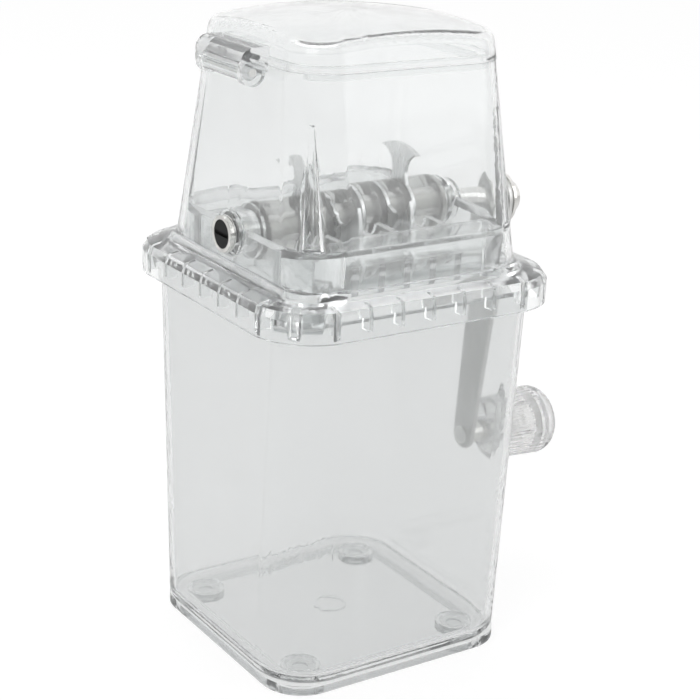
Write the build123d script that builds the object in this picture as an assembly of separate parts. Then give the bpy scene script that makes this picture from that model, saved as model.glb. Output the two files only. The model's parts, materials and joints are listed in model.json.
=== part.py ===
"""Hand crank ice crusher: a clear container, a hopper housing with a comb tray and a bladed
rotor, a hinged lid, and a steel crank with a ribbed knob.

Frame: +Z up, +X along the shaft towards the crank, origin in the middle of the base.
All lengths are millimetres, all angles degrees. Each piece is written to parts/NAME.step.
"""
from build123d import *
import os
from math import atan2, cos, degrees, pi, radians, sin

# ---------------------------------------------------------------- clearances
running_fit = 0.06      # shaft or pin in a bore that turns on it, on the radius
seat_fit = 0.02         # pieces pressed or slid together within one body, on the radius
body_gap = 0.35         # between faces of pieces that move past each other
overlap = 1.0           # how far cutters and joined solids run past a face
nest_gap = 0.5          # between the housing spigot and the container wall

# ---------------------------------------------------------------- container
container_half = 54.5           # outer half width just above the base
container_rim_half = 55.5       # outer half width at the rim
container_base_radius = 23.0    # corner radius at the base
container_rim_radius = 15.0     # corner radius at the rim
container_wall = 2.2
container_underside = 4.0       # lower face of the floor
container_floor = 2.4           # thickness of the floor
container_rim_height = 155.0
container_edge_round = 3.5      # rounding where the wall meets the underside
plinth_half = 53.0              # standing ring under the floor
plinth_radius = 17.0
plinth_width = 8.5
socket_lift = 0.5               # foot sockets stop short of the worktop
gate_ring_radius = 6.5          # moulding ring in the middle of the floor
gate_ring_width = 0.9
gate_ring_height = 0.5

# ---------------------------------------------------------------- feet
foot_spacing = 36.5             # distance of each foot from both middle planes
foot_radius = 6.0
foot_socket_wall = 1.6
foot_dish_radius = 3.2
foot_dish_depth = 0.8

# ---------------------------------------------------------------- housing
# Heights here are above the container's rim, so that the housing follows the container.
skirt_reach = 7.5               # how far the skirt stands out from the container
skirt_radius = 23.5
skirt_wall = 2.2
skirt_drop = 10.5               # lower edge of the skirt below the rim
skirt_shoulder = -2.0           # where the skirt turns into its rolled corner
skirt_roll = 2.2                # how far the rolled corner comes in
skirt_roll_top = 1.4
wall_foot = 5.0                 # where the hopper walls rise from the shoulder
wall_inset_x = 12.5             # from the skirt's outside in to the walls' foot
wall_inset_y = 8.0
wall_base_radius = 19.5
wall_rise = 74.4
wall_draw_x = 5.7               # how far each wall leans in over its rise
wall_draw_y = 13.4
wall_top_radius = 16.5
housing_wall = 2.2
post_rise = 57.0                # tips of the corner posts above the wall's foot
post_radius = 4.5               # corner posts at the tray, narrowing upwards
post_reach = 3.0                # how far a post stands in from the corner at the tray
post_tip_radius = 1.6
post_tip_reach = 0.4
spigot_wall = 2.0
spigot_drop = 5.0               # lower edge of the spigot below the rim
skirt_rib_count = 7             # on each side
skirt_rib_span = 81.6           # from the first rib to the last on one side
skirt_rib_thickness = 1.6

# ---------------------------------------------------------------- shaft and rotor
shaft_above_rim = 15.0          # the shaft's axis above the container's rim
shaft_radius = 3.5
shaft_flat_half = 2.7           # half the width over the flats that drive the blades
shaft_reach = 22.4              # bare shaft between the right boss and the crank arm
shaft_end_radius = 2.6
shaft_end_flat_half = 2.1
rotor_middle = 2.0
blade_pitch = 11.6
blade_count = 5
blade_turns = (0.0, 96.0, 184.0, 96.0, 0.0)     # from upright, towards the front
blade_thickness = 1.6
blade_tip_radius = 26.2
blade_tip_angle = 28.0          # half the spread of the tail
blade_waist_half = 4.2
blade_waist_height = 14.4
blade_root_half = 5.4
blade_hollow_out = 0.16         # middle of each hollow side, as shares of the way to the tip
blade_hollow_up = 0.55
hub_radius = 11.2
hub_end_length = 15.0
hub_edge = 0.5                  # bevel on each spacer's rims
washer_radius = 6.7
washer_thickness = 1.0
end_play = 0.5                  # rotor play between the washers and the bushes

# ---------------------------------------------------------------- comb tray
# Heights here are from the shaft's axis, so that the chamber follows the rotor.
tray_wall = 2.2
tray_fit = 0.3                  # between the tray's upper edge and the hopper wall
tray_drop = 23.5                # lower edge of the chamber
tray_flange = 2.0               # flange under the spigot
tray_rim_rise = 0.5             # rim of the crushing chamber
tray_slope_rise = 3.0           # how far the shelf climbs to the hopper wall
tray_shelf = 2.2                # thickness of the shelf
chamber_clearance = 3.4         # between the blade tips and the chamber's sides
chamber_radius = 3.0
comb_thickness = 3.0
comb_drop = 2.0                 # top of the comb below the shaft's axis

# ---------------------------------------------------------------- bearings
boss_radius = 8.2
boss_pad_radius = 8.8
boss_proud = 0.9                # how far each boss stands out from its wall
bush_radius = 5.2
bush_flange_radius = 10.4
bush_flange = 1.4
end_ring_radius = 7.0
end_ring_bore = 5.4
end_ring_length = 2.6
end_screw_length = 2.4
end_screw_slot = 1.6
end_screw_slot_depth = 1.2

# ---------------------------------------------------------------- crank and knob
crank_length = 107.4
crank_lean = 5.9                # the crank hangs a little towards the back
crank_thickness = 2.0
crank_hub_radius = 10.0
crank_tip_radius = 6.0
nut_radius = 10.6
nut_flange = 1.3
nut_dome_radius = 9.0
nut_tip_radius = 6.4
nut_edge = 0.7                  # bevel round the foot of the dome
nut_length = 6.1
nut_grip = 4.0                  # how far the shaft's end reaches into the nut
knob_axle_radius = 2.4
rivet_radius = 3.9
rivet_height = 1.3
collar_radius = 4.4
collar_length = 9.0
knob_gap = 13.0                 # from the arm to the knob's open end
knob_start_radius = 13.8        # open end, towards the arm
knob_radius = 14.9              # far end, where the cap sits
knob_length = 20.7
knob_wall = 2.2
knob_flutes = 40
knob_flute_radius = 0.8
knob_flute_depth = 0.4
knob_boss_radius = 6.0
knob_web_count = 6
knob_web = 1.6
cap_height = 8.7
cap_shoulder = 7.0              # rounding between the barrel and the flatter crown
cap_spigot = 2.5
axle_head_radius = 4.6
axle_head = 1.4

# ---------------------------------------------------------------- lid and hinge
lid_overhang = 0.3
lid_rise = 15.6                 # from the walls' top edge to the crown
lid_crown_radius = 250.0
lid_draft = 2.6                 # how much the rim draws in over its height
lid_wall = 2.2
lid_edge_round = 4.5
lip_depth = 2.6
lip_wall = 1.6
lid_seat_gap = 0.2
hinge_offset = 6.2              # the pin's distance outside the left wall's top edge
hinge_drop = 2.2                # the pin's distance below that edge
hinge_block_half = 16.5
hinge_block_radius = 5.0
hinge_cheek = 3.4
hinge_barrel_radius = 3.2
hinge_pin_radius = 1.5
hinge_web = 3.0
hinge_cover_edge = 2.6          # lower edge of the hinge cover below the pin

# ---------------------------------------------------------------- worked out from the above
floor_top = container_underside + container_floor
container_rise = container_rim_height - container_underside
seat_height = container_rim_height + body_gap
skirt_half = container_rim_half + skirt_reach
skirt_bottom = container_rim_height - skirt_drop
skirt_top = container_rim_height + skirt_shoulder
shoulder_half = skirt_half - skirt_roll
shoulder_radius = skirt_radius - skirt_roll / 2
shoulder_edge = container_rim_height + skirt_roll_top
spigot_bottom = container_rim_height - spigot_drop
wall_base = container_rim_height + wall_foot
wall_base_half_x = skirt_half - wall_inset_x
wall_base_half_y = skirt_half - wall_inset_y
wall_top = wall_base + wall_rise
wall_top_half_x = wall_base_half_x - wall_draw_x
wall_top_half_y = wall_base_half_y - wall_draw_y
shaft_height = container_rim_height + shaft_above_rim
shaft_level = Pos(0, 0, shaft_height)
tray_bottom = shaft_height - tray_drop
tray_rim = shaft_height + tray_rim_rise
tray_top = tray_rim + tray_slope_rise
comb_top = shaft_height - comb_drop
chamber_half_y = blade_tip_radius + chamber_clearance
boss_lean = wall_draw_x * (shaft_height - wall_base) / wall_rise
boss_face = wall_base_half_x - boss_lean + boss_proud
shoulder_x = boss_face + shaft_reach
arm_face = shoulder_x + crank_thickness
knob_start = arm_face + knob_gap
knob_y = crank_length * sin(radians(crank_lean))
knob_z = shaft_height - crank_length * cos(radians(crank_lean))
rotor_half = blade_pitch * (blade_count - 1) / 2 + blade_thickness / 2 + hub_end_length
rotor_left = rotor_middle - rotor_half
rotor_right = rotor_middle + rotor_half
bush_inner = {-1: -rotor_left + washer_thickness + end_play,
              1: rotor_right + washer_thickness + end_play}
shaft_left = -boss_face - body_gap
lid_top = wall_top + lid_rise
hinge_x = -wall_top_half_x - hinge_offset
hinge_z = wall_top - hinge_drop


# ---------------------------------------------------------------- small helpers
def plate(half_x, half_y, radius, z):
    """A rounded rectangle lying at height z."""
    return Pos(0, 0, z) * RectangleRounded(2 * half_x, 2 * half_y, radius)


def block(half_x, half_y, radius, z0, z1):
    """A rounded rectangle drawn straight up from z0 to z1."""
    return extrude(plate(half_x, half_y, radius, z0), z1 - z0)


def taper(lower, upper):
    """A straight sided solid between two plates, each (half x, half y, radius, z)."""
    return loft([plate(*lower), plate(*upper)], ruled=True)


def box(x0, x1, y0, y1, z0, z1):
    """A box between two corners."""
    middle = Pos((x0 + x1) / 2, (y0 + y1) / 2, (z0 + z1) / 2)
    return middle * Box(x1 - x0, y1 - y0, z1 - z0)


def rod(radius, x0, x1, y=0.0, z=shaft_height):
    """A round rod along X."""
    return Pos((x0 + x1) / 2, y, z) * Rot(0, 90, 0) * Cylinder(radius, x1 - x0)


def rod_y(radius, y0, y1, x, z):
    """A round rod along Y."""
    return Pos(x, (y0 + y1) / 2, z) * Rot(90, 0, 0) * Cylinder(radius, y1 - y0)


def tube(outer, inner, x0, x1, y=0.0, z=shaft_height):
    """A round tube along X."""
    return rod(outer, x0, x1, y, z) - rod(inner, x0 - overlap, x1 + overlap, y, z)


def mix(a, b, share):
    """The value a given share of the way from a to b."""
    return a + (b - a) * share


def on_arc(x, y, radius, angle):
    """The point at an angle, in radians, on a circle about (x, y)."""
    return x + radius * cos(angle), y + radius * sin(angle)


def container_half_at(z):
    """Outer half width of the container at height z."""
    return mix(container_half, container_rim_half, (z - container_underside) / container_rise)


def housing_at(z, inset=0.0):
    """Half x, half y and corner radius of the hopper wall at height z, drawn in by inset."""
    share = (z - wall_base) / wall_rise
    half_x = mix(wall_base_half_x, wall_top_half_x, share) - inset
    half_y = mix(wall_base_half_y, wall_top_half_y, share) - inset
    return half_x, half_y, mix(wall_base_radius, wall_top_radius, share) - inset


# ---------------------------------------------------------------- container and feet
def foot_places():
    """The four corners of the square that the feet stand on."""
    return [(sx * foot_spacing, sy * foot_spacing) for sx in (-1, 1) for sy in (-1, 1)]


def make_container():
    """Clear open container on a standing ring, with sockets for its feet."""
    lower = (container_half, container_half, container_base_radius, container_underside)
    upper = (container_rim_half, container_rim_half, container_rim_radius, container_rim_height)
    body = taper(lower, upper)
    body = fillet(body.edges().group_by(Axis.Z)[0], container_edge_round)
    inner_half = container_half_at(floor_top) - container_wall
    rim_inner = container_rim_half - container_wall
    base_inner_radius = container_base_radius - container_wall
    cavity = taper((inner_half, inner_half, base_inner_radius, floor_top),
                   (rim_inner, rim_inner, container_rim_radius - container_wall,
                    container_rim_height))
    cavity = fillet(cavity.edges().group_by(Axis.Z)[0], container_edge_round)
    ring = block(plinth_half, plinth_half, plinth_radius, 0, container_underside)
    ring_inner = plinth_half - plinth_width
    hole = block(ring_inner, ring_inner, plinth_radius - plinth_width, 0, container_underside)
    body = body - cavity + (ring - hole)
    for x, y in foot_places():
        socket = Cylinder(foot_radius + foot_socket_wall, container_underside - socket_lift)
        body += Pos(x, y, (container_underside + socket_lift) / 2) * socket
        body -= Pos(x, y, container_underside / 2) * Cylinder(foot_radius + seat_fit,
                                                              container_underside)
    gate = Cylinder(gate_ring_radius, gate_ring_height)
    gate -= Cylinder(gate_ring_radius - gate_ring_width, gate_ring_height)
    return body + Pos(0, 0, container_underside - gate_ring_height / 2) * gate


def make_feet():
    """Four round feet set into the sockets, each with a dished lower face."""
    foot = Pos(0, 0, container_underside / 2) * Cylinder(foot_radius, container_underside)
    foot -= Pos(0, 0, foot_dish_depth / 2) * Cylinder(foot_dish_radius, foot_dish_depth)
    return Compound([Pos(x, y, 0) * foot for x, y in foot_places()])


# ---------------------------------------------------------------- housing
def make_skirt():
    """The rim that hangs over the container, its shoulder and the ribs inside it."""
    skirt = block(skirt_half, skirt_half, skirt_radius, skirt_bottom, skirt_top)
    skirt += taper((skirt_half, skirt_half, skirt_radius, skirt_top),
                   (shoulder_half, shoulder_half, shoulder_radius, shoulder_edge))
    skirt += taper((shoulder_half, shoulder_half, shoulder_radius, shoulder_edge),
                   (wall_base_half_x, wall_base_half_y, wall_base_radius, wall_base))
    inside = skirt_half - skirt_wall
    skirt -= block(inside, inside, skirt_radius - skirt_wall, skirt_bottom, seat_height)
    reach = container_rim_half + nest_gap
    depth = inside - reach
    rib = box(reach, inside + skirt_wall / 2, -skirt_rib_thickness / 2, skirt_rib_thickness / 2,
              skirt_bottom + skirt_wall, seat_height)
    pitch = skirt_rib_span / (skirt_rib_count - 1)
    for side in range(4):
        for number in range(skirt_rib_count):
            skirt += Rot(0, 0, 90 * side) * Pos(0, number * pitch - skirt_rib_span / 2, 0) * rib
    corner = (skirt_half - skirt_radius) * 2 ** 0.5 + skirt_radius - skirt_wall / 2
    pad = box(corner - depth, corner, -skirt_rib_thickness, skirt_rib_thickness,
              skirt_bottom + skirt_wall, seat_height)
    for side in range(4):
        skirt += Rot(0, 0, 45 + 90 * side) * pad
    return skirt


def make_spigot():
    """The wall under the shoulder that drops inside the container."""
    outer = container_rim_half - container_wall - nest_gap
    radius = container_rim_radius - container_wall - nest_gap
    spigot = block(outer, outer, radius, spigot_bottom, seat_height)
    inner = outer - spigot_wall
    return spigot, block(inner, inner, radius - spigot_wall, spigot_bottom, wall_base - overlap)


def make_boss(side):
    """A bearing boss on one end wall: a flat pad outside and a collar inside."""
    inner_face = housing_at(shaft_height, housing_wall)[0]
    boss = rod(boss_radius, bush_inner[side] + bush_flange, boss_face - overlap)
    boss += rod(boss_pad_radius, inner_face, boss_face)
    if side < 0:
        boss = Rot(0, 0, 180) * boss
    return boss


def make_hinge_knuckle():
    """The barrel and web on the hopper wall that the lid's hinge block straddles."""
    half = hinge_block_half - hinge_cheek - body_gap
    wall_face = -housing_at(hinge_z, housing_wall / 2)[0]
    knuckle = rod_y(hinge_barrel_radius, -half, half, hinge_x, hinge_z)
    knuckle += box(hinge_x, wall_face, -half, half, hinge_z - hinge_web / 2,
                   hinge_z + hinge_web / 2)
    return knuckle - rod_y(hinge_pin_radius + seat_fit, -half - overlap, half + overlap,
                           hinge_x, hinge_z)


def post_ring(across, along, z, radius, reach):
    """A corner post's outline at height z, standing in from the middle of the corner."""
    half_x, half_y, corner = housing_at(z, housing_wall)
    inward = corner * (1 - cos(pi / 4)) + (reach - radius) * cos(pi / 4)
    return Pos(across * (half_x - inward), along * (half_y - inward), z) * Circle(radius)


def make_corner_posts():
    """Tapering posts that stiffen the hopper's corners above the tray."""
    core = taper((*housing_at(wall_base, housing_wall / 2), wall_base),
                 (*housing_at(wall_top, housing_wall / 2), wall_top))
    posts = []
    for across, along in ((-1, -1), (-1, 1), (1, -1), (1, 1)):
        foot = post_ring(across, along, tray_top + body_gap, post_radius, post_reach)
        tip = post_ring(across, along, wall_base + post_rise, post_tip_radius, post_tip_reach)
        posts.append(loft([foot, tip], ruled=True) & core)
    return posts


def make_housing():
    """Clear hopper housing with skirt, spigot, posts, bearing bosses and hinge knuckle."""
    spigot, spigot_bore = make_spigot()
    walls = taper((*housing_at(wall_base), wall_base), (*housing_at(wall_top), wall_top))
    body = make_skirt() + spigot + walls
    cavity_base = wall_base - overlap
    cavity = taper((*housing_at(cavity_base, housing_wall), cavity_base),
                   (*housing_at(wall_top, housing_wall), wall_top))
    body = body - spigot_bore - cavity
    for post in make_corner_posts():
        body += post
    bore = rod(bush_radius + seat_fit, -boss_face - overlap, boss_face + overlap)
    body = body + make_boss(1) + make_boss(-1) - bore
    return body + make_hinge_knuckle()


# ---------------------------------------------------------------- comb tray
def make_shelf_hollow(side, half_x, tray_half_y, bottom):
    """The space under the sloping shelf on one side of the chamber."""
    slope = (tray_top - tray_rim) / (tray_half_y - chamber_half_y)
    near = chamber_half_y + tray_wall
    far = tray_half_y
    profile = [(side * near, bottom), (side * far, bottom),
               (side * far, tray_top - tray_shelf),
               (side * near, tray_rim - tray_shelf + slope * tray_wall)]
    across = Plane(origin=(-half_x, 0, 0), x_dir=(0, 1, 0), z_dir=(1, 0, 0))
    return extrude(across * make_face(Polyline(*profile, close=True)), 2 * half_x,
                   dir=(1, 0, 0))


def make_comb_tray():
    """Insert with a sloping shelf, a crushing chamber and the fixed comb between the blades."""
    flange_half = container_rim_half - container_wall - nest_gap
    flange_radius = container_rim_radius - container_wall - nest_gap
    tray_half_x, tray_half_y, tray_radius = housing_at(tray_top, housing_wall + tray_fit)
    chamber_half_x = tray_half_x - tray_wall
    chamber = (chamber_half_x, chamber_half_y, chamber_radius)
    outside = (tray_half_x, tray_half_y, tray_radius)
    flange_bottom = spigot_bottom - tray_flange
    tray = block(*outside, flange_bottom, tray_top)
    tray += block(flange_half, flange_half, flange_radius, flange_bottom, spigot_bottom)
    tray -= taper((*chamber, tray_rim), (*outside, tray_top))
    inner = block(chamber_half_x, tray_half_y - tray_wall, tray_radius - tray_wall,
                  flange_bottom, tray_top)
    for side in (-1, 1):
        tray -= make_shelf_hollow(side, chamber_half_x, tray_half_y, flange_bottom) & inner
    tray += block(tray_half_x, chamber_half_y + tray_wall, chamber_radius, tray_bottom,
                  flange_bottom)
    tray -= block(*chamber, tray_bottom, tray_rim)
    for gap in range(blade_count + 1):
        x = rotor_middle + (gap - blade_count / 2) * blade_pitch
        tray += box(x - comb_thickness / 2, x + comb_thickness / 2, -chamber_half_y,
                    chamber_half_y, tray_bottom, comb_top)
    tray -= rod(hub_radius + 2 * body_gap, -chamber_half_x, chamber_half_x)
    notch = boss_radius + body_gap
    tray -= rod(notch, -tray_half_x - overlap, tray_half_x + overlap)
    return tray - box(-tray_half_x - overlap, tray_half_x + overlap, -notch, notch,
                      shaft_height, tray_top)


# ---------------------------------------------------------------- bearings
def make_bush(side):
    """A flanged bush in one end wall."""
    inner_end = bush_inner[side]
    bush = rod(bush_radius, inner_end, boss_face)
    bush += rod(bush_flange_radius, inner_end, inner_end + bush_flange)
    bush -= rod(shaft_radius + running_fit, inner_end - overlap, boss_face + overlap)
    if side < 0:
        bush = Rot(0, 0, 180) * bush
    return bush


# ---------------------------------------------------------------- shaft and rotor
def make_shaft():
    """Steel shaft with flats along the rotor and a reduced end for the crank."""
    shaft = rod(shaft_radius, shaft_left, rotor_left)
    shaft += flatted_rod(shaft_radius, shaft_flat_half, rotor_left, rotor_right)
    shaft += rod(shaft_radius, rotor_right, shoulder_x)
    return shaft + flatted_rod(shaft_end_radius, shaft_end_flat_half, shoulder_x,
                               arm_face + nut_grip)


def flatted_rod(radius, half, x0, x1):
    """A round rod along the shaft's axis with two flats."""
    return rod(radius, x0, x1) & box(x0, x1, -half, half, shaft_height - radius,
                                     shaft_height + radius)


def blade_outline():
    """Tail shaped blade on a round root, drawn upright about the shaft."""
    tip_x = blade_tip_radius * sin(radians(blade_tip_angle))
    tip_y = blade_tip_radius * cos(radians(blade_tip_angle))
    root_y = (hub_radius ** 2 - blade_root_half ** 2) ** 0.5
    hollow = (mix(blade_waist_half, tip_x, blade_hollow_out),
              mix(blade_waist_height, tip_y, blade_hollow_up))
    edge = ThreePointArc((-tip_x, tip_y), (0, blade_tip_radius), (tip_x, tip_y))
    right = ThreePointArc((tip_x, tip_y), hollow, (blade_waist_half, blade_waist_height))
    right_foot = Line((blade_waist_half, blade_waist_height), (blade_root_half, root_y))
    base = Line((blade_root_half, root_y), (-blade_root_half, root_y))
    left_foot = Line((-blade_root_half, root_y), (-blade_waist_half, blade_waist_height))
    left = ThreePointArc((-blade_waist_half, blade_waist_height), (-hollow[0], hollow[1]),
                         (-tip_x, tip_y))
    tail = make_face(Curve() + [edge, right, right_foot, base, left_foot, left])
    return Circle(hub_radius) + tail


def make_blade(number):
    """One steel blade, turned to its place round the shaft."""
    flat = extrude(blade_outline(), blade_thickness)
    upright = Plane(origin=(-blade_thickness / 2, 0, 0), x_dir=(0, 1, 0), z_dir=(1, 0, 0))
    x = rotor_middle + (number - (blade_count - 1) / 2) * blade_pitch
    turned = Rot(blade_turns[number], 0, 0) * (upright * flat)
    hole = flatted_rod(shaft_radius + seat_fit, shaft_flat_half + seat_fit,
                       x - blade_thickness, x + blade_thickness)
    return shaft_level * Pos(x, 0, 0) * turned - hole


def make_spacer(x0, x1):
    """A clear round spacer on the shaft."""
    spacer = rod(hub_radius, x0, x1)
    spacer = chamfer(spacer.edges().filter_by(GeomType.CIRCLE), hub_edge)
    return spacer - rod(shaft_radius + seat_fit, x0 - overlap, x1 + overlap)


def spacer_spans():
    """Where each spacer starts and ends, from left to right."""
    first = rotor_middle - (blade_count - 1) / 2 * blade_pitch
    edges = [rotor_left]
    for number in range(blade_count):
        edges += [first + number * blade_pitch - blade_thickness / 2,
                  first + number * blade_pitch + blade_thickness / 2]
    edges.append(rotor_right)
    return [(edges[2 * n], edges[2 * n + 1]) for n in range(blade_count + 1)]


def make_washer(x0):
    """A thin washer at one end of the rotor."""
    return tube(washer_radius, shaft_radius + seat_fit, x0, x0 + washer_thickness)


def make_end_screw():
    """Slotted screw head closing the left end of the shaft."""
    x0 = shaft_left - end_screw_length
    head = rod(end_ring_bore - seat_fit, x0, shaft_left)
    slot = box(x0, x0 + end_screw_slot_depth, -end_ring_bore, end_ring_bore,
               shaft_height - end_screw_slot / 2, shaft_height + end_screw_slot / 2)
    return head - slot


def make_end_ring():
    """Bright ring round the screw head, clear of the boss face."""
    return tube(end_ring_radius, end_ring_bore, shaft_left - end_ring_length, shaft_left)


# ---------------------------------------------------------------- crank
def at_knob(shape):
    """Move a shape from the shaft's axis to the knob's axis."""
    return shape.moved(Pos(0, knob_y, knob_z - shaft_height))


def make_crank_arm():
    """Flat steel arm, wide at the shaft and narrow at the knob."""
    hub = Circle(crank_hub_radius)
    tip = Pos(0, -crank_length) * Circle(crank_tip_radius)
    arm = make_hull((hub + tip).edges())
    arm -= Pos(0, -crank_length) * Circle(knob_axle_radius + seat_fit)
    face = Plane(origin=(shoulder_x, 0, shaft_height), x_dir=(0, 1, 0), z_dir=(1, 0, 0))
    arm = face * (Rot(0, 0, crank_lean) * extrude(arm, crank_thickness))
    return arm - flatted_rod(shaft_end_radius + seat_fit, shaft_end_flat_half + seat_fit,
                             shoulder_x - overlap, arm_face + overlap)


def make_cap_nut():
    """Domed nut with a flange on the crank end of the shaft."""
    profile = [(0, 0), (nut_radius, 0), (nut_radius, nut_flange), (nut_dome_radius, nut_flange),
               (nut_dome_radius - nut_edge, nut_flange + nut_edge),
               (nut_tip_radius, nut_length), (0, nut_length)]
    outline = make_face(Polyline(*profile, close=True))
    solid = revolve(outline, Axis.Y)
    nut = Pos(arm_face, 0, shaft_height) * Rot(0, 0, -90) * solid
    return nut - rod(shaft_end_radius + seat_fit, arm_face - overlap, arm_face + nut_grip)


def make_knob_axle():
    """Rivet through the arm, the collar and the knob, with a head at each end."""
    x0 = shoulder_x
    head_x = knob_start + knob_length - cap_spigot - axle_head
    axle = rod(knob_axle_radius, x0, head_x)
    axle += rod(rivet_radius, x0 - rivet_height, x0)
    axle += rod(axle_head_radius, head_x, head_x + axle_head)
    return at_knob(axle)


def make_knob_collar():
    """Bright collar between the arm and the knob."""
    collar = tube(collar_radius, knob_axle_radius + seat_fit, arm_face,
                  arm_face + collar_length)
    return at_knob(collar)


def knob_cone(inset):
    """The tapered form of the knob's barrel, drawn in by inset."""
    cone = Cone(knob_start_radius - inset, knob_radius - inset, knob_length)
    return Pos(knob_start + knob_length / 2, 0, shaft_height) * Rot(0, 90, 0) * cone


def make_knob_flutes():
    """Round grooves along the barrel, following its taper."""
    slope = degrees(atan2(knob_radius - knob_start_radius, knob_length))
    place = (knob_start_radius + knob_radius) / 2 + knob_flute_radius - knob_flute_depth
    groove = Rot(0, slope, 0) * Cylinder(knob_flute_radius, knob_length + 2)
    middle = Pos(knob_start + knob_length / 2, 0, shaft_height) * Rot(0, 90, 0)
    step = 360 / knob_flutes
    return [middle * Rot(0, 0, step * number) * Pos(place, 0, 0) * groove
            for number in range(knob_flutes)]


def make_knob():
    """Clear ribbed barrel, open towards the arm, with webs round a central boss."""
    end = knob_start + knob_length
    floor_start = end - cap_spigot - 2 * knob_wall
    hollow = knob_cone(knob_wall) & rod(knob_radius, knob_start - overlap, floor_start)
    barrel = knob_cone(0) - hollow
    barrel -= rod(knob_radius - knob_wall, end - cap_spigot, end + overlap)
    boss_start = arm_face + collar_length + body_gap
    middle = rod(knob_boss_radius, boss_start, floor_start)
    inside = knob_cone(knob_wall / 2) & rod(knob_radius, knob_start, floor_start)
    for number in range(knob_web_count):
        web = box(knob_start, end, 0, knob_radius, -knob_web / 2, knob_web / 2)
        turned = shaft_level * Rot(360 / knob_web_count * number, 0, 0) * web
        middle += turned & inside
    barrel = barrel - make_knob_flutes() + middle
    head_pocket = end - cap_spigot - axle_head - body_gap
    barrel -= rod(knob_axle_radius + running_fit, boss_start - overlap, end)
    barrel -= rod(axle_head_radius + body_gap, head_pocket, end)
    return at_knob(barrel)


def make_knob_cap():
    """Domed end of the knob with a spigot that fits inside the barrel."""
    end = knob_start + knob_length
    outer = knob_radius - knob_wall - seat_fit
    inner = knob_radius - 2 * knob_wall
    spigot = Polyline((0, 0), (inner, 0), (inner, seat_fit - cap_spigot),
                      (outer, seat_fit - cap_spigot), (outer, 0), (knob_radius, 0))
    across = knob_radius - cap_shoulder
    crown = (across ** 2 + cap_height ** 2 - cap_shoulder ** 2) / (cap_height - cap_shoulder) / 2
    turn = atan2(crown - cap_height, across)
    shoulder = ThreePointArc((knob_radius, 0), on_arc(across, 0, cap_shoulder, turn / 2),
                             on_arc(across, 0, cap_shoulder, turn))
    dome = ThreePointArc(on_arc(across, 0, cap_shoulder, turn),
                         on_arc(0, cap_height - crown, crown, (turn + pi / 2) / 2),
                         (0, cap_height))
    outline = make_face(Curve() + [spigot, shoulder, dome, Line((0, cap_height), (0, 0))])
    cap = Rot(0, 0, -90) * revolve(outline, Axis.Y)
    return at_knob(shaft_level * Pos(end, 0, 0) * cap)


# ---------------------------------------------------------------- lid
def lid_form(inset):
    """The outer form of the lid drawn in by inset, down to its seat."""
    half_x = wall_top_half_x + lid_overhang - inset
    half_y = wall_top_half_y + lid_overhang - inset
    radius = wall_top_radius + lid_overhang - inset
    seat = wall_top + lid_seat_gap
    form = taper((half_x, half_y, radius, seat),
                 (half_x - lid_draft, half_y - lid_draft, radius - lid_draft, lid_top))
    crown = lid_crown_radius - inset
    form &= Pos(0, 0, lid_top - inset - crown) * Sphere(crown)
    top_edges = form.faces().sort_by(Axis.Z)[-1].edges()
    return fillet(top_edges, lid_edge_round - inset / 2)


def make_hinge_block():
    """The block on the lid that wraps over the hinge."""
    half = hinge_block_half
    back = hinge_x - hinge_block_radius
    joint_x = -wall_top_half_x + lid_draft
    top = lid_top - 2 * lid_edge_round
    block_body = rod_y(hinge_block_radius, -half, half, hinge_x, hinge_z)
    block_body += box(back, hinge_x, -half, half, hinge_z, top)
    block_body += box(hinge_x, -wall_top_half_x - lid_overhang, -half, half, hinge_z, top)
    block_body += box(-wall_top_half_x - lid_overhang, joint_x, -half, half,
                      wall_top + lid_seat_gap, top)
    corner = block_body.edges().filter_by(Axis.Y).sort_by(Axis.Z)[-2:].sort_by(Axis.X)[0]
    return fillet(corner, hinge_block_radius)


def make_lid():
    """Domed clear lid with a locating lip and the outer half of the hinge."""
    lid = lid_form(0) + make_hinge_block()
    lid -= lid_form(lid_wall)
    seat = wall_top + lid_seat_gap
    lip_x, lip_y, lip_radius = housing_at(wall_top, housing_wall + body_gap)
    lip = block(lip_x, lip_y, lip_radius, wall_top - lip_depth, seat + lid_wall)
    lip -= block(lip_x - lip_wall, lip_y - lip_wall, lip_radius - lip_wall,
                 wall_top - lip_depth, seat + lid_wall)
    lip -= box(-wall_top_half_x, -lip_x + 2 * lip_wall, -lip_y, lip_y, wall_top - lip_depth,
               seat)
    ledge = block(wall_top_half_x - lid_wall / 2, wall_top_half_y - lid_wall / 2,
                  wall_top_radius - lid_wall / 2, seat, seat + lip_wall)
    lid += lip + (ledge - block(lip_x - lip_wall, lip_y - lip_wall, lip_radius - lip_wall,
                                seat, seat + lip_wall))
    slot = hinge_block_half - hinge_cheek
    pocket = hinge_barrel_radius + body_gap
    lid -= rod_y(pocket, -slot, slot, hinge_x, hinge_z)
    lid -= box(hinge_x, -wall_top_half_x - lid_overhang, -slot, slot,
               hinge_z - hinge_block_radius, hinge_z + pocket)
    lid -= box(hinge_x - hinge_block_radius, hinge_x, -slot, slot,
               hinge_z - hinge_block_radius, hinge_z - hinge_cover_edge)
    pin_hole = hinge_pin_radius + running_fit
    return lid - rod_y(pin_hole, -hinge_block_half - overlap, hinge_block_half + overlap,
                       hinge_x, hinge_z)


def make_hinge_pin():
    """Steel pin through the cheeks and the knuckle."""
    return rod_y(hinge_pin_radius, -hinge_block_half, hinge_block_half, hinge_x, hinge_z)


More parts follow.
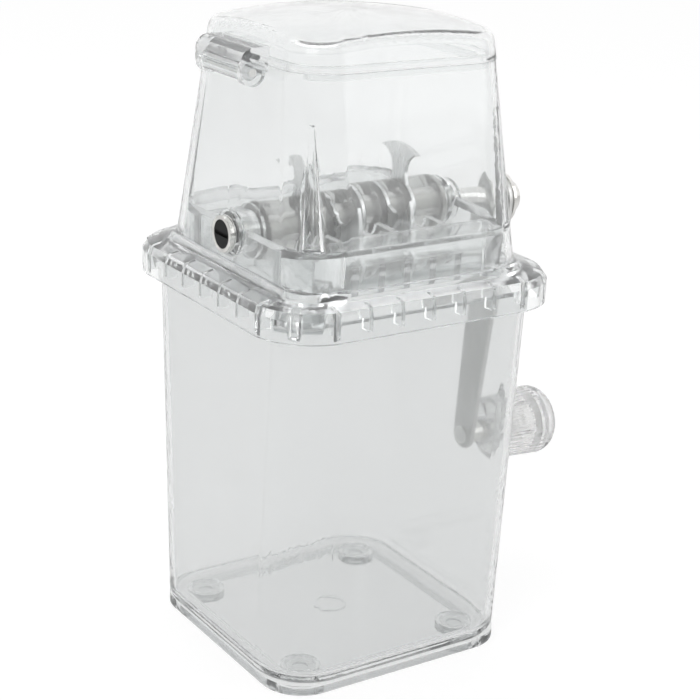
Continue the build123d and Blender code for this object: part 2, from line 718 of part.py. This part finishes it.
# ---------------------------------------------------------------- all pieces
def make_all():
    """Every piece by its node name."""
    pieces = {
        "container": make_container(),
        "feet": make_feet(),
        "housing": make_housing(),
        "comb_tray": make_comb_tray(),
        "left_bush": make_bush(-1),
        "right_bush": make_bush(1),
        "drive_shaft": make_shaft(),
        "left_washer": make_washer(rotor_left - washer_thickness),
        "right_washer": make_washer(rotor_right),
        "end_screw": make_end_screw(),
        "end_ring": make_end_ring(),
        "crank_arm": make_crank_arm(),
        "cap_nut": make_cap_nut(),
        "knob_axle": make_knob_axle(),
        "knob_collar": make_knob_collar(),
        "knob": make_knob(),
        "knob_cap": make_knob_cap(),
        "lid": make_lid(),
        "hinge_pin": make_hinge_pin(),
    }
    for number in range(blade_count):
        pieces[f"blade_{number + 1}"] = make_blade(number)
    for number, (x0, x1) in enumerate(spacer_spans()):
        pieces[f"rotor_spacer_{number + 1}"] = make_spacer(x0, x1)
    return pieces


os.makedirs("parts", exist_ok=True)
for name, piece in make_all().items():
    export_step(piece, f"parts/{name}.step")
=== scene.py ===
"""Looks of a clear hand crank ice crusher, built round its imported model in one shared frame."""
import json
from math import cos, pi, radians, sin

import bmesh
import bpy
from mathutils import Matrix, Vector


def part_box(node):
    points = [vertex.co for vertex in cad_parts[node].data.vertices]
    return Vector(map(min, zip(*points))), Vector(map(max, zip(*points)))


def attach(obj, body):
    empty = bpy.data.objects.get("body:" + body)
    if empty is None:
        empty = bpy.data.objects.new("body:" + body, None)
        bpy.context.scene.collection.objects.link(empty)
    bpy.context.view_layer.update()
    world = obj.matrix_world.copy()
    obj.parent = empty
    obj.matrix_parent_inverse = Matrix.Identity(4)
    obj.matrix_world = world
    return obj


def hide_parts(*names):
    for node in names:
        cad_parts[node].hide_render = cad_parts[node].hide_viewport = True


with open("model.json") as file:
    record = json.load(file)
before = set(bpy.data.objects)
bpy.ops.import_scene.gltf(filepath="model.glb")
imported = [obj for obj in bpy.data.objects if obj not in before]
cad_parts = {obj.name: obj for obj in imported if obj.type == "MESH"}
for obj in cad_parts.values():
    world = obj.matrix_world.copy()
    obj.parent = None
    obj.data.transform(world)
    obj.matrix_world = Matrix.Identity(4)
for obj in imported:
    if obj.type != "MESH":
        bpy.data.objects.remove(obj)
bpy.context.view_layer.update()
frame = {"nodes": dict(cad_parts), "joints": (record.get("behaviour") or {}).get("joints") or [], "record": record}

bl_info = {
    "name": "Ice crusher looks",
    "version": (1, 0, 0),
    "blender": (4, 5, 0),
    "location": "3D View > Sidebar > Ice crusher",
    "description": "Clear mouldings, steel rotor and crank of a hand crank ice crusher",
    "category": "Object",
}

MM = 0.001
FLOOR_GAP = 0.0002      # keeps the feet's clear undersides free of the floor
FLOOR_HALF = 4.0        # half of the floor's width
FLOOR_WHITE = 1.06      # floor's own glow and lit share together, enough to read as white
SAME_POINT = 2e-6       # points this close to each other are one
FLAT_DEGREES = 0.2      # triangles this close to one plane are one face
CRISP_DEGREES = 30      # steeper edges keep a crisp line in the shading
SOFT_DEGREES = 40       # steeper edges of the steel are rounded
SIDE_SHARE = 0.45       # most of a profile's side that one rounded corner may take
CLEAR_IOR = 1.49        # clear moulding plastic
SMOKE_SHARE = 0.02      # density of the smoke over one wall's thickness
CLEARNESS = 0.95        # the rest is the haze that handling leaves
SEAT_GAP = 0.00003      # draws a seated piece in from the faces that it is seated on
LIGHT_BOUNCES = 48      # the clear walls stand one behind another, so light needs many turns
BODY_OF = {node: body for body, nodes in frame["record"]["behaviour"]["bodies"].items()
           for node in nodes}
SLOT_OF = {part["node"]: part["material_slot"] for part in frame["record"]["subparts"]}
JOINT = {joint["name"]: joint for joint in frame["joints"]}
SHAFT_AXIS = Vector(JOINT["crank_spin"]["pos_m"])
KNOB_AXIS = Vector(JOINT["knob_spin"]["pos_m"])
LAMPS = (               # name, place, side and share of the power of each soft lamp
    ("Key lamp", (-0.9, -0.5, 1.0), 0.7, 1.0),
    ("Fill lamp", (0.9, -0.9, 0.7), 0.9, 0.6),
    ("Top lamp", (0.1, 0.5, 1.3), 0.8, 0.8),
)
LAMP_TARGET = (0, 0, 0.12)
ROOM_TURNS = (-0.3, 0.5)    # glossy faces see more white the further they look from the camera


# ---------------------------------------------------------------- values a user would change
def linear(hex_colour):
    """The linear colour of an sRGB hex value such as #c0c0c0."""
    channels = [int(hex_colour[i:i + 2], 16) / 255 for i in (1, 3, 5)]
    return [c / 12.92 if c <= 0.04045 else ((c + 0.055) / 1.055) ** 2.4 for c in channels]


def length(name, description, default_mm):
    """A length property given in millimetres."""
    return bpy.props.FloatProperty(name=name, description=description, default=default_mm * MM,
                                   min=0.0, precision=5, unit="LENGTH", subtype="DISTANCE")


def colour(name, description, default):
    """A colour property given as an sRGB hex value."""
    return bpy.props.FloatVectorProperty(name=name, description=description, size=3, min=0.0,
                                         max=1.0, default=linear(default), subtype="COLOR")


def number(name, description, default):
    """A plain number property."""
    return bpy.props.FloatProperty(name=name, description=description, default=default)


def count(name, description, default):
    """A whole number property."""
    return bpy.props.IntProperty(name=name, description=description, default=default, min=0)


class CrusherSizes(bpy.types.PropertyGroup):
    """Sizes of the details that the looks add."""
    metal_edge: length("Metal edge", "Rounding on the edges of the steel strip", 0.2)
    turned_edge: length("Turned edge", "Rounding on the edges of turned pieces", 0.25)
    spacer_edge: length("Spacer edge", "Rounding on the rims of the rotor's spacers", 0.8)
    washer_edge: length("Washer edge", "Rounding on the edges of the washers", 0.15)
    shaft_radius: length("Shaft radius", "Bore of the spacers and washers", 3.52)
    end_ring_bore: length("End ring bore", "Inner radius of the ring at the shaft's end", 5.4)
    axle_radius: length("Axle radius", "Bore of the collar on the knob's axle", 2.42)
    steps_round: count("Steps round", "Faces round a turned piece", 96)


class CrusherColours(bpy.types.PropertyGroup):
    """Colours of the pieces."""
    container: colour("Container", "Faint tone of the container", "#f1f2f2")
    plastic: colour("Clear plastic", "Faint tone of the housing, tray and lid", "#fcfdfd")
    knob: colour("Knob", "Faint tone of the knob", "#ffffff")
    spacer: colour("Spacers", "Natural, slightly milky plastic", "#f6f6f4")
    smoke: colour("Smoke", "Colour that thick clear plastic turns towards", "#b9bcbd")
    arm: colour("Crank arm", "Satin steel strip", "#dcdcdb")
    shaft: colour("Shaft", "Bright turned steel", "#ececea")
    blade: colour("Blades", "Ground stainless steel", "#dfe0e0")
    plating: colour("Plating", "Nickel plate on the nut, ring and collar", "#e6e5e2")
    dark_steel: colour("End screw", "Blackened steel", "#2a2a2b")
    washer: colour("Washers", "Black fibre", "#1c1c1d")


class CrusherStage(bpy.types.PropertyGroup):
    """Camera, lamps and floor."""
    camera_place: bpy.props.FloatVectorProperty(
        name="Camera place", description="Where the camera stands", size=3,
        default=(-0.36001, -0.54538, 0.34563), unit="LENGTH", subtype="XYZ")
    camera_yaw: bpy.props.FloatProperty(
        name="Yaw", description="Camera's turn from +Y towards +X", default=radians(33.83),
        unit="ROTATION", subtype="ANGLE")
    camera_pitch: bpy.props.FloatProperty(
        name="Pitch", description="How far the camera looks down", default=radians(19.33),
        unit="ROTATION", subtype="ANGLE")
    camera_roll: bpy.props.FloatProperty(
        name="Roll", description="Camera's turn about its own line of sight",
        default=radians(2.28), unit="ROTATION", subtype="ANGLE")
    lens: number("Lens", "Focal length on a 36 mm sensor, in millimetres", 90.45)
    room_light: number("Room light", "Strength of the light from all round", 0.6)
    lamp_power: number("Lamp power", "Power of each soft lamp, in watts", 4.0)
    gloss_share: number("Gloss share", "How white the room in front looks in glossy faces", 0.3)
    floor: colour("Floor", "Pale floor", "#e8e8e8")
    shadow_share: number("Shadow share", "How much of the floor's white the lamps make", 0.2)


# ---------------------------------------------------------------- nodes and materials
def add(tree, kind, settings=None, inputs=None):
    """Adds a node, sets its options and fills its sockets with values or other sockets."""
    made = tree.nodes.new(kind)
    for name, value in (settings or {}).items():
        setattr(made, name, value)
    for key, value in (inputs or {}).items():
        if isinstance(value, bpy.types.NodeSocket):
            tree.links.new(value, made.inputs[key])
        else:
            made.inputs[key].default_value = value
    return made


def opaque(rgb):
    """A colour with full alpha, as a colour socket takes it."""
    return (*rgb, 1.0)


def new_material(name):
    """An empty node material, its tree and its output node."""
    material = bpy.data.materials.new(name)
    material.use_nodes = True
    material.node_tree.nodes.clear()
    output = add(material.node_tree, "ShaderNodeOutputMaterial")
    return material, material.node_tree, output


def noise(tree, scale_mm, stretch=(1.0, 1.0, 1.0), detail=3.0, roughness=0.5):
    """A noise factor whose cells are scale_mm across, stretched along the axes."""
    place = add(tree, "ShaderNodeTexCoord").outputs["Object"]
    mapping = add(tree, "ShaderNodeMapping", inputs={"Vector": place, "Scale": stretch})
    made = add(tree, "ShaderNodeTexNoise", inputs={
        "Vector": mapping.outputs["Vector"], "Scale": 1 / (scale_mm * MM), "Detail": detail,
        "Roughness": roughness})
    return made.outputs["Fac"]


def spread(tree, factor, low, high):
    """The factor's middle range spread over low to high."""
    made = add(tree, "ShaderNodeMapRange", inputs={
        "Value": factor, "From Min": 0.3, "From Max": 0.7, "To Min": low, "To Max": high})
    return made.outputs["Result"]


def moulded_clear(name, rgb, smoke, thickness_mm, ripple_mm, clearness=CLEARNESS):
    """Clear injection moulded plastic: bright and glassy, with slow ripples from the melt's
    flow that bend what is seen through it, a little surface haze from handling, and a faint
    grey tone that deepens where light runs along a wall or through a corner."""
    material, tree, output = new_material(name)
    flow = noise(tree, ripple_mm, stretch=(1.0, 1.0, 0.45), detail=1.0)
    grain = noise(tree, 6.0, detail=2.0)
    ripple = add(tree, "ShaderNodeBump", inputs={
        "Height": flow, "Strength": 0.12, "Distance": 0.6 * MM})
    surface = add(tree, "ShaderNodeBsdfPrincipled", inputs={
        "Base Color": opaque(rgb), "Roughness": spread(tree, grain, 0.02, 0.07), "IOR": CLEAR_IOR,
        "Transmission Weight": clearness, "Normal": ripple.outputs["Normal"]})
    inside = add(tree, "ShaderNodeVolumeAbsorption", inputs={
        "Color": opaque(smoke), "Density": SMOKE_SHARE / (thickness_mm * MM)})
    tree.links.new(surface.outputs["BSDF"], output.inputs["Surface"])
    tree.links.new(inside.outputs["Volume"], output.inputs["Volume"])
    return material


def worked_steel(name, rgb, roughness, grain_mm, stretch, scratch):
    """Steel whose working marks run one way: fine streaks that vary its gloss and tone."""
    material, tree, output = new_material(name)
    streak = noise(tree, grain_mm, stretch=stretch, detail=4.0, roughness=0.6)
    cloud = noise(tree, 18.0, detail=2.0)
    dark, light = [c * 0.82 for c in rgb], [min(1.0, c * 1.12) for c in rgb]
    tone = add(tree, "ShaderNodeMix", {"data_type": "RGBA"}, {
        "Factor": spread(tree, streak, 0.0, 1.0)})
    tone.inputs[6].default_value, tone.inputs[7].default_value = opaque(dark), opaque(light)
    marks = add(tree, "ShaderNodeBump", inputs={
        "Height": streak, "Strength": scratch, "Distance": 0.05 * MM})
    gloss = add(tree, "ShaderNodeMath", {"operation": "ADD"}, {
        0: spread(tree, cloud, roughness * 0.8, roughness * 1.2),
        1: spread(tree, streak, 0.0, 0.06)})
    surface = add(tree, "ShaderNodeBsdfPrincipled", inputs={
        "Base Color": tone.outputs[2], "Metallic": 1.0, "Roughness": gloss.outputs["Value"],
        "Normal": marks.outputs["Normal"]})
    tree.links.new(surface.outputs["BSDF"], output.inputs["Surface"])
    return material


def black_fibre(name, rgb):
    """Pressed black fibre: matt, with a fine felted grain."""
    material, tree, output = new_material(name)
    felt = noise(tree, 0.6, detail=4.0)
    grain = add(tree, "ShaderNodeBump", inputs={
        "Height": felt, "Strength": 0.3, "Distance": 0.05 * MM})
    surface = add(tree, "ShaderNodeBsdfPrincipled", inputs={
        "Base Color": opaque(rgb), "Roughness": spread(tree, felt, 0.5, 0.7),
        "Normal": grain.outputs["Normal"]})
    tree.links.new(surface.outputs["BSDF"], output.inputs["Surface"])
    return material


def finish_for(slot_name):
    """The material of a record slot, made once."""
    colours = bpy.context.scene.crusher_colours
    makers = {
        "clear_container": lambda: moulded_clear(
            "Moulded clear polystyrene container", colours.container, colours.smoke, 2.2, 30.0),
        "clear_housing": lambda: moulded_clear(
            "Moulded clear polystyrene housing", colours.plastic, colours.smoke, 2.2, 24.0),
        "clear_tray": lambda: moulded_clear(
            "Moulded clear polystyrene tray", colours.plastic, colours.smoke, 2.2, 18.0),
        "clear_lid": lambda: moulded_clear(
            "Moulded clear polystyrene lid", colours.plastic, colours.smoke, 2.2, 26.0),
        "clear_foot": lambda: moulded_clear(
            "Soft clear vinyl foot", colours.plastic, colours.smoke, 4.0, 8.0),
        "bush_plastic": lambda: moulded_clear(
            "Turned clear acetal bush", colours.plastic, colours.smoke, 3.0, 8.0),
        "spacer_plastic": lambda: moulded_clear(
            "Moulded natural spacer", colours.spacer, colours.smoke, 8.0, 8.0, 0.75),
        "knob_plastic": lambda: moulded_clear(
            "Moulded clear knob", colours.knob, colours.smoke, 4.0, 10.0, 0.92),
        "shaft_steel": lambda: worked_steel(
            "Bright turned steel", colours.shaft, 0.16, 0.5, (1.0, 0.05, 0.05), 0.12),
        "arm_steel": lambda: worked_steel(
            "Satin rolled steel strip", colours.arm, 0.34, 0.8, (1.0, 1.0, 0.06), 0.2),
        "blade_steel": lambda: worked_steel(
            "Ground stainless steel", colours.blade, 0.24, 0.7, (1.0, 1.0, 0.08), 0.2),
        "bright_steel": lambda: worked_steel(
            "Nickel plated steel", colours.plating, 0.07, 4.0, (1.0, 1.0, 1.0), 0.03),
        "dark_steel": lambda: worked_steel(
            "Blackened steel", colours.dark_steel, 0.4, 1.0, (1.0, 1.0, 1.0), 0.1),
        "black_washer": lambda: black_fibre("Pressed black fibre", colours.washer),
    }
    names = bpy.context.scene.get("crusher_finishes", {})
    if slot_name not in names:
        names = {**names, slot_name: makers[slot_name]().name}
        bpy.context.scene["crusher_finishes"] = names
    return bpy.data.materials[names[slot_name]]


# ---------------------------------------------------------------- making pieces
def plain_mesh(piece):
    """Turns what a piece's modifiers make of it into its own plain mesh."""
    bpy.context.view_layer.update()
    seen = piece.evaluated_get(bpy.context.evaluated_depsgraph_get())
    mesh = bpy.data.meshes.new_from_object(seen)
    piece.modifiers.clear()
    mesh.name = piece.name
    piece.data = mesh


def place_piece(piece, node):
    """Lets a finished piece ride on its body in place of its CAD node."""
    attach(piece, BODY_OF[node])
    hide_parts(node)
    return piece


def tidy_mesh(mesh):
    """Merges doubled points, joins the triangles of flat faces and turns faces outwards."""
    work = bmesh.new()
    work.from_mesh(mesh)
    bmesh.ops.remove_doubles(work, verts=work.verts, dist=SAME_POINT)
    bmesh.ops.recalc_face_normals(work, faces=work.faces)
    bmesh.ops.dissolve_limit(work, angle_limit=radians(FLAT_DEGREES), verts=work.verts,
                             edges=work.edges)
    work.to_mesh(mesh)
    work.free()


def shade(piece):
    """Smooth shading that keeps flat faces flat, baked into the piece's mesh."""
    piece.data.shade_smooth()
    piece.data.set_sharp_from_angle(angle=radians(CRISP_DEGREES))
    weighted = piece.modifiers.new("Flat faces stay flat", "WEIGHTED_NORMAL")
    weighted.keep_sharp = True
    plain_mesh(piece)


def dressed(name, node, edge=0.0, inset=0.0):
    """A smooth copy of a CAD node, standing for it, with edges rounded by the given size. Its
    faces are drawn in by the inset, because two clear faces in one place let no light through."""
    mesh = frame["nodes"][node].data.copy()
    mesh.name = name
    tidy_mesh(mesh)
    if inset:
        outwards = [point.normal.copy() for point in mesh.vertices]
        for point, way in zip(mesh.vertices, outwards):
            point.co -= way * inset
    mesh.materials.clear()
    mesh.materials.append(finish_for(SLOT_OF[node]))
    piece = bpy.data.objects.new(name, mesh)
    bpy.context.scene.collection.objects.link(piece)
    if edge:
        bevel = piece.modifiers.new("Softened edges", "BEVEL")
        bevel.width = edge
        bevel.segments = 2
        bevel.limit_method = "ANGLE"
        bevel.angle_limit = radians(SOFT_DEGREES)
        plain_mesh(piece)
    shade(piece)
    return place_piece(piece, node)


def turned_tree():
    """Node tree that turns a profile curve about a line along X."""
    tree = bpy.data.node_groups.new("Turned piece", "GeometryNodeTree")
    face = tree.interface
    face.new_socket("Geometry", in_out="OUTPUT", socket_type="NodeSocketGeometry")
    for name, kind in (("Profile", "Object"), ("Profile points", "Int"), ("Steps round", "Int"),
                       ("Axis", "Vector"), ("Material", "Material")):
        face.new_socket(name, in_out="INPUT", socket_type=f"NodeSocket{kind}")
    given = add(tree, "NodeGroupInput").outputs

    def maths(operation, *values):
        made = add(tree, "ShaderNodeMath", {"operation": operation}, dict(enumerate(values)))
        return made.outputs["Value"]

    columns = maths("ADD", given["Steps round"], 1.0)
    grid = add(tree, "GeometryNodeMeshGrid", inputs={
        "Vertices X": columns, "Vertices Y": given["Profile points"]})
    index = add(tree, "GeometryNodeInputIndex").outputs["Index"]
    row = maths("MODULO", index, given["Profile points"])
    column = maths("FLOOR", maths("DIVIDE", index, given["Profile points"]))
    turn = maths("MULTIPLY", maths("DIVIDE", column, given["Steps round"]), 2 * pi)
    drawn = add(tree, "GeometryNodeObjectInfo", inputs={"Object": given["Profile"]})
    here = add(tree, "GeometryNodeInputPosition").outputs["Position"]
    sample = add(tree, "GeometryNodeSampleIndex", {"data_type": "FLOAT_VECTOR"}, {
        "Geometry": drawn.outputs["Geometry"], "Index": row, "Value": here})
    parts = add(tree, "ShaderNodeSeparateXYZ", inputs={0: sample.outputs["Value"]}).outputs
    across = maths("MULTIPLY", parts["Y"], maths("COSINE", turn))
    up = maths("MULTIPLY", parts["Y"], maths("SINE", turn))
    point = add(tree, "ShaderNodeCombineXYZ", inputs={"X": parts["X"], "Y": across, "Z": up})
    moved = add(tree, "GeometryNodeSetPosition", inputs={
        "Geometry": grid.outputs["Mesh"], "Position": point.outputs["Vector"],
        "Offset": given["Axis"]})
    closed = add(tree, "GeometryNodeMergeByDistance", inputs={
        "Geometry": moved.outputs["Geometry"], "Distance": 1e-6})
    real = add(tree, "GeometryNodeRealizeInstances", inputs={
        "Geometry": closed.outputs["Geometry"]})
    painted = add(tree, "GeometryNodeSetMaterial", inputs={
        "Geometry": real.outputs["Geometry"], "Material": given["Material"]})
    add(tree, "NodeGroupOutput", inputs={"Geometry": painted.outputs["Geometry"]})
    return tree


def plain_result(piece, tree, settings):
    """Runs a node tree on a piece once and leaves a plain mesh."""
    modifier = piece.modifiers.new(tree.name, "NODES")
    modifier.node_group = tree
    for item in tree.interface.items_tree:
        if item.in_out == "INPUT" and item.name in settings:
            modifier[item.identifier] = settings[item.name]
    plain_mesh(piece)


def softened(profile, size):
    """A closed profile whose corners are rounded a little, each by three points."""
    points = profile[:-1]
    made = []
    for i, point in enumerate(points):
        before, after = Vector(points[i - 1]), Vector(points[(i + 1) % len(points)])
        corner = Vector(point)
        back, on = before - corner, after - corner
        reach = min(size, back.length * SIDE_SHARE, on.length * SIDE_SHARE)
        a, b = corner + back.normalized() * reach, corner + on.normalized() * reach
        made += [tuple(a), tuple((a + b + 2 * corner) / 4), tuple(b)]
    return made + made[:1]


def turned(name, node, profile, axis, edge):
    """Turns a profile of (x, radius) points about a line along X, standing for a CAD node."""
    rows = softened([(x, radius, 0.0) for x, radius in profile], edge)
    drawing = bpy.data.curves.new(name + "_profile", "CURVE")
    drawing.dimensions = "3D"
    line = drawing.splines.new("POLY")
    line.points.add(len(rows) - 1)
    for spot, row in zip(line.points, rows):
        spot.co = (*row, 1.0)
    holder = bpy.data.objects.new(name + "_profile", drawing)
    bpy.context.scene.collection.objects.link(holder)
    piece = bpy.data.objects.new(name, bpy.data.meshes.new(name + "_start"))
    bpy.context.scene.collection.objects.link(piece)
    tree = bpy.data.node_groups.get("Turned piece") or turned_tree()
    plain_result(piece, tree, {
        "Profile": holder, "Profile points": len(rows),
        "Steps round": bpy.context.scene.crusher_sizes.steps_round,
        "Axis": (0.0, axis.y, axis.z), "Material": finish_for(SLOT_OF[node])})
    bpy.data.objects.remove(holder)
    tidy_mesh(piece.data)
    shade(piece)
    return place_piece(piece, node)


def ends(node):
    """Where a CAD node starts and ends along X."""
    low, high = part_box(node)
    return low.x, high.x


def widest(node):
    """Half of a CAD node's height."""
    low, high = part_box(node)
    return (high.z - low.z) / 2


def ring_profile(x0, x1, outer, inner):
    """The closed section of a plain ring."""
    return [(x0, inner), (x1, inner), (x1, outer), (x0, outer), (x0, inner)]


# ---------------------------------------------------------------- operators
class MakeMouldings(bpy.types.Operator):
    """Container, housing, comb tray and lid"""
    bl_idname = "crusher.mouldings"
    bl_label = "Mouldings"

    def execute(self, context):
        dressed("container_moulding", "container")
        dressed("housing_moulding", "housing")
        dressed("comb_tray_moulding", "comb_tray", inset=SEAT_GAP)
        dressed("lid_moulding", "lid")
        return {"FINISHED"}


class MakeRotor(bpy.types.Operator):
    """Blades, spacers, washers and shaft"""
    bl_idname = "crusher.rotor"
    bl_label = "Rotor"

    def execute(self, context):
        sizes = context.scene.crusher_sizes
        for node in sorted(frame["nodes"]):
            if node.startswith("blade_"):
                dressed(node + "_ground", node, sizes.metal_edge)
            if node.startswith("rotor_spacer_"):
                profile = ring_profile(*ends(node), widest(node), sizes.shaft_radius)
                turned(node + "_moulding", node, profile, SHAFT_AXIS, sizes.spacer_edge)
            if node.endswith("_washer"):
                profile = ring_profile(*ends(node), widest(node), sizes.shaft_radius)
                turned(node + "_disc", node, profile, SHAFT_AXIS, sizes.washer_edge)
        dressed("drive_shaft_bar", "drive_shaft")
        return {"FINISHED"}


class MakeFittings(bpy.types.Operator):
    """Bushes, end ring and screw, hinge pin and feet"""
    bl_idname = "crusher.fittings"
    bl_label = "Fittings"

    def execute(self, context):
        sizes = context.scene.crusher_sizes
        profile = ring_profile(*ends("end_ring"), widest("end_ring"), sizes.end_ring_bore)
        turned("end_ring_plated", "end_ring", profile, SHAFT_AXIS, sizes.turned_edge)
        for node in ("left_bush", "right_bush", "end_screw", "hinge_pin"):
            dressed(node + "_finished", node, inset=SEAT_GAP)
        dressed("foot_discs", "feet", inset=SEAT_GAP)
        return {"FINISHED"}


class MakeCrank(bpy.types.Operator):
    """Crank arm, cap nut, knob axle and collar"""
    bl_idname = "crusher.crank"
    bl_label = "Crank"

    def execute(self, context):
        sizes = context.scene.crusher_sizes
        dressed("crank_arm_strip", "crank_arm", sizes.metal_edge)
        dressed("cap_nut_plated", "cap_nut")
        dressed("knob_axle_rivet", "knob_axle", sizes.metal_edge)
        profile = ring_profile(*ends("knob_collar"), widest("knob_collar"), sizes.axle_radius)
        turned("knob_collar_plated", "knob_collar", profile, KNOB_AXIS, sizes.turned_edge)
        return {"FINISHED"}


class MakeKnob(bpy.types.Operator):
    """Fluted knob and its domed cap"""
    bl_idname = "crusher.knob"
    bl_label = "Knob"

    def execute(self, context):
        dressed("knob_moulding", "knob", inset=SEAT_GAP)
        dressed("knob_cap_moulding", "knob_cap", inset=SEAT_GAP)
        return {"FINISHED"}


def seen_share(tree, gloss_share):
    """1 for rays from the camera and through clear pieces, the given share for rays off
    glossy surfaces, and 0 for the light that falls on the object."""
    rays = add(tree, "ShaderNodeLightPath").outputs
    gloss = add(tree, "ShaderNodeMath", {"operation": "MULTIPLY"}, {
        0: rays["Is Glossy Ray"], 1: gloss_share}).outputs["Value"]
    first = add(tree, "ShaderNodeMath", {"operation": "MAXIMUM"}, {
        0: rays["Is Camera Ray"], 1: gloss}).outputs["Value"]
    return add(tree, "ShaderNodeMath", {"operation": "MAXIMUM"}, {
        0: first, 1: rays["Is Transmission Ray"]}).outputs["Value"]


class MakeStage(bpy.types.Operator):
    """Camera, soft lamps, room light and floor"""
    bl_idname = "crusher.stage"
    bl_label = "Stage"

    def execute(self, context):
        self.make_camera(context)
        self.make_room(context)
        self.make_lamps(context)
        self.make_floor(context)
        context.scene.view_settings.view_transform = "Standard"
        context.scene.cycles.max_bounces = LIGHT_BOUNCES
        context.scene.cycles.transmission_bounces = LIGHT_BOUNCES
        context.scene.cycles.glossy_bounces = LIGHT_BOUNCES
        return {"FINISHED"}

    def make_camera(self, context):
        stage = context.scene.crusher_stage
        yaw, pitch, roll = stage.camera_yaw, stage.camera_pitch, stage.camera_roll
        ahead = Vector((cos(pitch) * sin(yaw), cos(pitch) * cos(yaw), -sin(pitch)))
        level = Vector((cos(yaw), -sin(yaw), 0))
        upright = level.cross(ahead)
        right = cos(roll) * level + sin(roll) * upright
        up = -sin(roll) * level + cos(roll) * upright
        data = bpy.data.cameras.new("Camera")
        data.lens, data.sensor_width = stage.lens, 36.0
        data.clip_start, data.clip_end = 0.01, 20.0
        camera = bpy.data.objects.new("Camera", data)
        context.scene.collection.objects.link(camera)
        turn = Matrix((right, up, -ahead)).transposed().to_4x4()
        camera.matrix_world = Matrix.Translation(stage.camera_place) @ turn
        context.scene.camera = camera

    def make_room(self, context):
        world = bpy.data.worlds.new("Studio")
        context.scene.world = world
        world.use_nodes = True
        tree = world.node_tree
        tree.nodes.clear()
        stage = context.scene.crusher_stage
        room = add(tree, "ShaderNodeBackground", inputs={
            "Color": opaque((1.0, 1.0, 1.0)), "Strength": stage.room_light})
        white = add(tree, "ShaderNodeBackground", inputs={
            "Color": opaque((1.0, 1.0, 1.0)), "Strength": 1.0})
        way = add(tree, "ShaderNodeTexCoord").outputs["Generated"]
        behind = (sin(stage.camera_yaw), cos(stage.camera_yaw), 0.0)
        along = add(tree, "ShaderNodeVectorMath", {"operation": "DOT_PRODUCT"}, {
            0: way, 1: behind}).outputs["Value"]
        share = add(tree, "ShaderNodeMapRange", inputs={
            "Value": along, "From Min": ROOM_TURNS[0], "From Max": ROOM_TURNS[1],
            "To Min": stage.gloss_share, "To Max": 1.0}).outputs["Result"]
        shown = add(tree, "ShaderNodeMixShader", inputs={
            "Fac": seen_share(tree, share), 1: room.outputs[0], 2: white.outputs[0]})
        add(tree, "ShaderNodeOutputWorld", inputs={"Surface": shown.outputs[0]})

    def make_lamps(self, context):
        power = context.scene.crusher_stage.lamp_power
        for name, place, size, share in LAMPS:
            data = bpy.data.lights.new(name, "AREA")
            data.shape, data.size, data.energy = "SQUARE", size, power * share
            lamp = bpy.data.objects.new(name, data)
            context.scene.collection.objects.link(lamp)
            aim = Vector(LAMP_TARGET) - Vector(place)
            turn = aim.to_track_quat("-Z", "Y").to_matrix().to_4x4()
            lamp.matrix_world = Matrix.Translation(place) @ turn

    def make_floor(self, context):
        stage = context.scene.crusher_stage
        corners = [(x * FLOOR_HALF, y * FLOOR_HALF, -FLOOR_GAP)
                   for x, y in ((-1, -1), (1, -1), (1, 1), (-1, 1))]
        mesh = bpy.data.meshes.new("Floor")
        mesh.from_pydata(corners, [], [(0, 1, 2, 3)])
        floor = bpy.data.objects.new("Floor", mesh)
        context.scene.collection.objects.link(floor)
        material, tree, output = new_material("Pale sweep of paper")
        paper = add(tree, "ShaderNodeBsdfDiffuse", inputs={"Color": opaque(stage.floor)})
        shade = add(tree, "ShaderNodeBsdfDiffuse", inputs={
            "Color": opaque([stage.shadow_share] * 3)})
        glow = add(tree, "ShaderNodeEmission", inputs={
            "Strength": FLOOR_WHITE - stage.shadow_share})
        white = add(tree, "ShaderNodeAddShader", inputs={0: shade.outputs[0],
                                                         1: glow.outputs[0]})
        shown = add(tree, "ShaderNodeMixShader", inputs={
            "Fac": seen_share(tree, stage.gloss_share), 1: paper.outputs[0],
            2: white.outputs[0]})
        tree.links.new(shown.outputs[0], output.inputs["Surface"])
        mesh.materials.append(material)


STEPS = (MakeMouldings, MakeRotor, MakeFittings, MakeCrank, MakeKnob, MakeStage)


class CrusherPanel(bpy.types.Panel):
    """Lists the steps that dress the ice crusher"""
    bl_idname = "CRUSHER_PT_steps"
    bl_label = "Ice crusher"
    bl_space_type = "VIEW_3D"
    bl_region_type = "UI"
    bl_category = "Ice crusher"

    def draw(self, context):
        for step in STEPS:
            self.layout.operator(step.bl_idname)
        for group in (context.scene.crusher_sizes, context.scene.crusher_colours,
                      context.scene.crusher_stage):
            for name in group.__annotations__:
                self.layout.prop(group, name)


GROUPS = (CrusherSizes, CrusherColours, CrusherStage)


def register():
    """Registers the classes and hangs the values on the scene."""
    for made in (*GROUPS, *STEPS, CrusherPanel):
        bpy.utils.register_class(made)
    bpy.types.Scene.crusher_sizes = bpy.props.PointerProperty(type=CrusherSizes)
    bpy.types.Scene.crusher_colours = bpy.props.PointerProperty(type=CrusherColours)
    bpy.types.Scene.crusher_stage = bpy.props.PointerProperty(type=CrusherStage)


def unregister():
    """Takes the values and the classes away again."""
    del bpy.types.Scene.crusher_stage
    del bpy.types.Scene.crusher_colours
    del bpy.types.Scene.crusher_sizes
    for made in (CrusherPanel, *reversed(STEPS), *reversed(GROUPS)):
        bpy.utils.unregister_class(made)


def main():
    """Dresses the whole part."""
    register()
    bpy.ops.crusher.mouldings()
    bpy.ops.crusher.rotor()
    bpy.ops.crusher.fittings()
    bpy.ops.crusher.crank()
    bpy.ops.crusher.knob()
    bpy.ops.crusher.stage()


if __name__ == "__main__":
    main()
